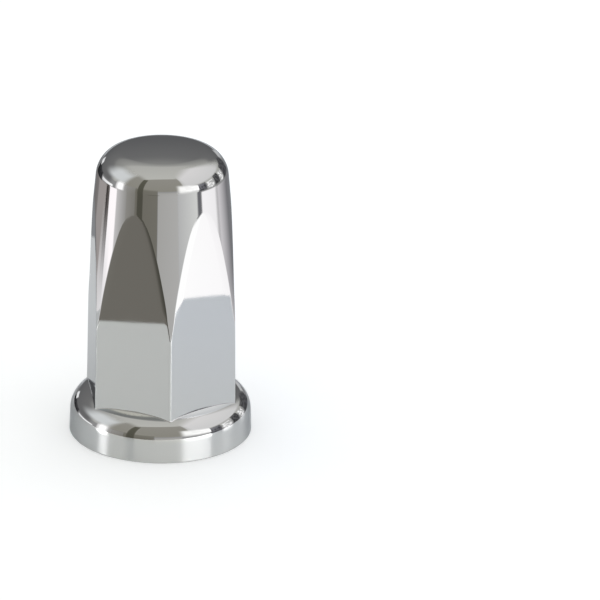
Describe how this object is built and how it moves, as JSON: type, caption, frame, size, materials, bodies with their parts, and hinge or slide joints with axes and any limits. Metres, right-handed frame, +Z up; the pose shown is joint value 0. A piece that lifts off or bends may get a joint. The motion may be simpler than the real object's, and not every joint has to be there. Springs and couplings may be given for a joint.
{
  "type": "wheel nut cover cap",
  "caption": "Tall chrome push-on cover for a hexagonal wheel nut: domed tapered top, six flats, round flange with a pry notch, hollow hexagonal socket with grip ribs.",
  "frame": {"origin": "centre of the open rim, on the plane it rests on", "axes": "+Z up along the cap's axis towards the crown; two corners of the hexagon lie on the Y axis and two flats face +X and -X"},
  "size_m": [0.0582, 0.0582, 0.0953],
  "materials": {
    "chrome_plating": "bright chrome plating on moulded ABS, polished like a mirror"
  },
  "bodies": {
    "root": {"nut_cover": "chrome_plating"}
  },
  "joints": []
}
